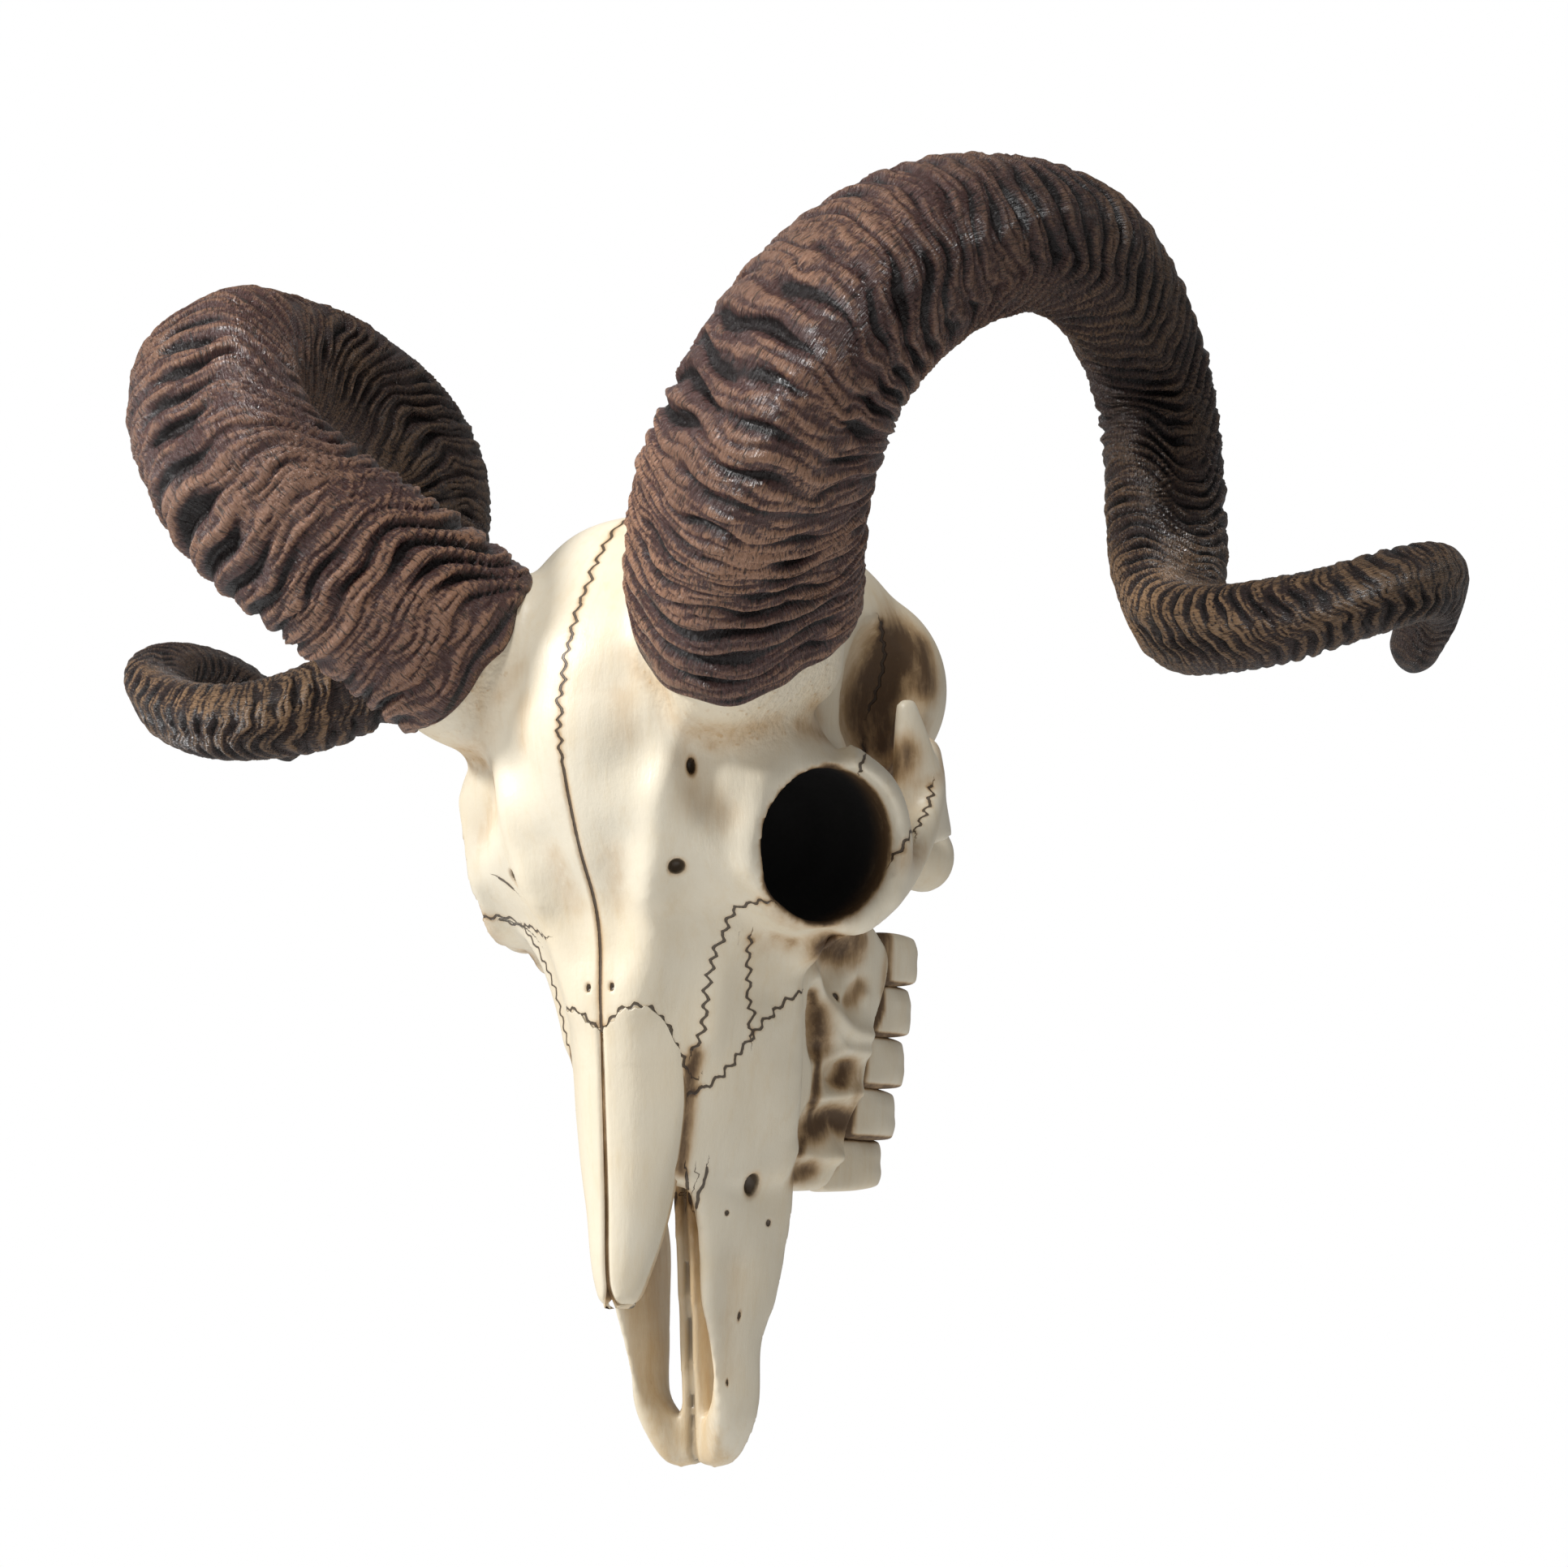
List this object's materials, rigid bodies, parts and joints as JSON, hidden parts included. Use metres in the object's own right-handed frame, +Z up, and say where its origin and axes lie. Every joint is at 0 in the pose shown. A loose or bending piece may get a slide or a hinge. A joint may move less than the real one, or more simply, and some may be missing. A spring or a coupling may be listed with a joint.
{
  "type": "ram skull wall sculpture",
  "caption": "Upright ram's skull with separate spiral horns, parted face bones and cheek teeth, and a flat plate on its back that rests on a wall.",
  "frame": {"origin": "middle of the hanging plate's back face, on the wall", "axes": "+Z up along the face, -Y out of the wall and out of the face, +X towards the skull's own left horn"},
  "size_m": [0.4972, 0.2197, 0.385],
  "materials": {
    "bone": "satin ivory cast resin with brown wash",
    "horn": "dark brown cast resin with tan dry-brushed ridges",
    "plate": "plain cast resin"
  },
  "bodies": {
    "root": {"cranium": "bone", "maxilla_left": "bone", "maxilla_right": "bone", "nasal_left": "bone", "nasal_right": "bone", "premaxilla_left": "bone", "premaxilla_right": "bone", "horn_left": "horn", "horn_right": "horn", "hanger_plate": "plate"}
  },
  "joints": []
}
